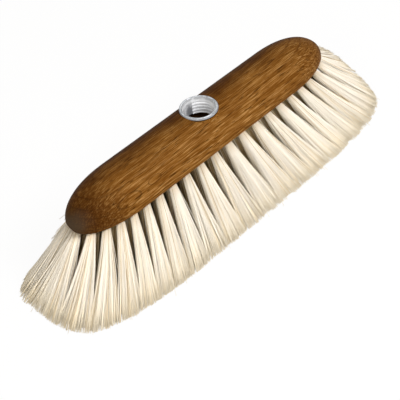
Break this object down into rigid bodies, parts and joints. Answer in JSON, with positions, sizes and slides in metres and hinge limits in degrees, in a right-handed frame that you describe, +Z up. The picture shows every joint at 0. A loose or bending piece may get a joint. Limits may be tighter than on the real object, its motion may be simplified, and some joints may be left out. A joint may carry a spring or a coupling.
{
  "type": "broom head",
  "caption": "Soft-hair broom head: domed wooden stock with a metal pole socket in its crest and splayed tufts of pale hair all round.",
  "frame": {"origin": "on the floor under the socket's axis, in the plane of the trimmed hair tips", "axes": "+X along the stock, +Z up out of the pole socket's mouth"},
  "size_m": [0.3932, 0.1346, 0.0868],
  "materials": {
    "oiled_oak": "oiled, open grain",
    "zinc_plated_steel": "zinc plated",
    "pale_horsehair": "undyed natural hair"
  },
  "bodies": {
    "root": {"stock": "oiled_oak", "pole_socket": "zinc_plated_steel", "tuft_01": "pale_horsehair", "tuft_02": "pale_horsehair", "tuft_03": "pale_horsehair", "tuft_04": "pale_horsehair", "tuft_05": "pale_horsehair", "tuft_06": "pale_horsehair", "tuft_07": "pale_horsehair", "tuft_08": "pale_horsehair", "tuft_09": "pale_horsehair", "tuft_10": "pale_horsehair", "tuft_11": "pale_horsehair", "tuft_12": "pale_horsehair", "tuft_13": "pale_horsehair", "tuft_14": "pale_horsehair", "tuft_15": "pale_horsehair", "tuft_16": "pale_horsehair", "tuft_17": "pale_horsehair", "tuft_18": "pale_horsehair", "tuft_19": "pale_horsehair", "tuft_20": "pale_horsehair", "tuft_21": "pale_horsehair", "tuft_22": "pale_horsehair", "tuft_23": "pale_horsehair", "tuft_24": "pale_horsehair", "tuft_25": "pale_horsehair", "tuft_26": "pale_horsehair", "tuft_27": "pale_horsehair", "tuft_28": "pale_horsehair", "tuft_29": "pale_horsehair", "tuft_30": "pale_horsehair", "tuft_31": "pale_horsehair", "tuft_32": "pale_horsehair", "tuft_33": "pale_horsehair", "tuft_34": "pale_horsehair", "tuft_35": "pale_horsehair", "tuft_36": "pale_horsehair", "tuft_37": "pale_horsehair", "tuft_38": "pale_horsehair", "tuft_39": "pale_horsehair", "tuft_40": "pale_horsehair", "tuft_41": "pale_horsehair", "tuft_42": "pale_horsehair", "inner_tufts": "pale_horsehair"}
  },
  "joints": []
}
